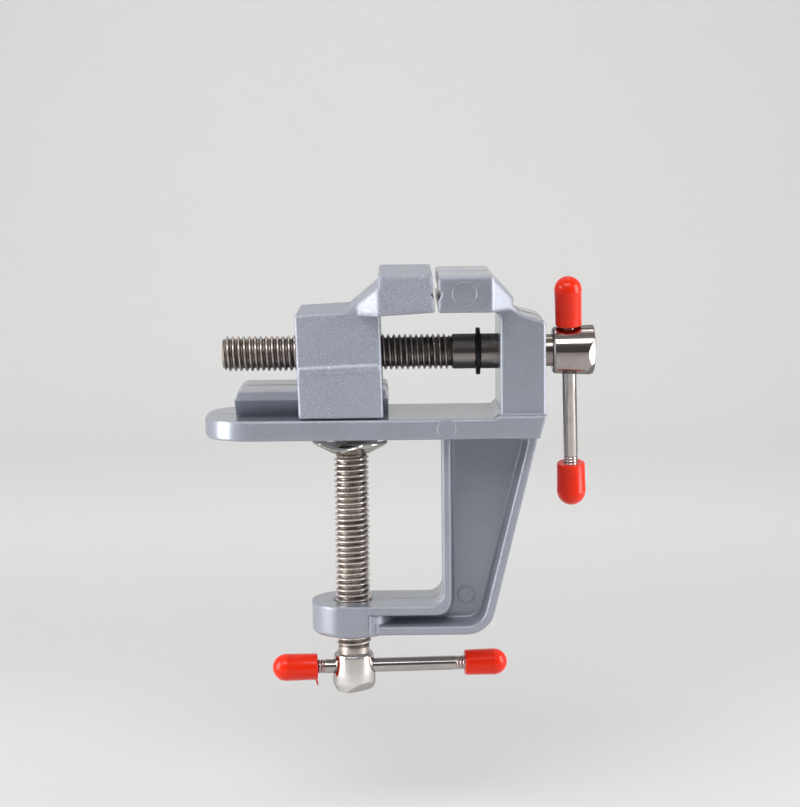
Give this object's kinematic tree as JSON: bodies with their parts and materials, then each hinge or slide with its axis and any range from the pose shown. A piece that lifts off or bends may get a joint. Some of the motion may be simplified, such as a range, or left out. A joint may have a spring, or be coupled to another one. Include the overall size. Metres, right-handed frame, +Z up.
{
  "type": "mini table vise",
  "caption": "Small table-clamp vise with a dovetail moving jaw, a main screw and a clamp screw, each turned by a loose T-bar with soft end caps.",
  "frame": {"origin": "underside of the slide bed, on the axis of the table clamp screw; this face rests on the table top", "axes": "+X from the moving jaw to the fixed jaw and the main screw's head, +Y across the jaws towards the back, +Z up"},
  "size_m": [0.0879, 0.035, 0.0969],
  "materials": {
    "casting": "die-cast aluminium with satin grey paint",
    "jaw_casting": "die-cast aluminium with satin grey paint and a fine metallic speckle",
    "screw_steel": "nickel plated steel",
    "bar_steel": "bright plated steel",
    "pad_steel": "bright plated sheet steel",
    "ring_steel": "black oxide spring steel",
    "cap_red": "glossy red soft plastic"
  },
  "bodies": {
    "frame": {"clamp_frame": "casting"},
    "retaining_ring": {"retaining_ring": "ring_steel"},
    "main_screw": {"main_screw": "screw_steel"},
    "moving_jaw": {"moving_jaw": "jaw_casting"},
    "main_handle": {"main_handle_bar": "bar_steel", "main_handle_cap_upper": "cap_red", "main_handle_cap_lower": "cap_red"},
    "clamp_pad": {"clamp_pad": "pad_steel"},
    "clamp_screw": {"clamp_screw": "screw_steel"},
    "clamp_handle": {"clamp_handle_bar": "bar_steel", "clamp_handle_cap_left": "cap_red", "clamp_handle_cap_right": "cap_red"}
  },
  "joints": [
    {"name": "main_screw_float", "type": "slide", "parent": "frame", "child": "retaining_ring", "axis": [1, 0, 0], "range_m": [-0.0019, 0]},
    {"name": "main_screw_turn", "type": "hinge", "parent": "retaining_ring", "child": "main_screw", "pos_m": [0.0494, 0, 0.0181], "axis": [1, 0, 0], "range_deg": [-115, 6900]},
    {"name": "jaw_slide", "type": "slide", "parent": "retaining_ring", "child": "moving_jaw", "axis": [-1, 0, 0], "range_m": [-0.0004, 0.024]},
    {"name": "main_bar_slide", "type": "slide", "parent": "main_screw", "child": "main_handle", "axis": [-0.0297, -0.1736, 0.9844], "range_m": [0, 0.0205]},
    {"name": "clamp_pad_slide", "type": "slide", "parent": "frame", "child": "clamp_pad", "axis": [0, 0, -1], "range_m": [-0.0012, 0.0328]},
    {"name": "clamp_screw_turn", "type": "hinge", "parent": "clamp_pad", "child": "clamp_screw", "pos_m": [0, 0, 0], "axis": [0, 0, -1], "range_deg": [-340, 9440]},
    {"name": "clamp_bar_slide", "type": "slide", "parent": "clamp_screw", "child": "clamp_handle", "axis": [0.9976, 0.0698, 0], "range_m": [-0.0203, 0.003]}
  ],
  "couplings": [
    {"joint": "jaw_slide", "follows": "main_screw_turn", "m_per_rad": 0.00019894},
    {"joint": "clamp_pad_slide", "follows": "clamp_screw_turn", "m_per_rad": 0.00019894}
  ]
}
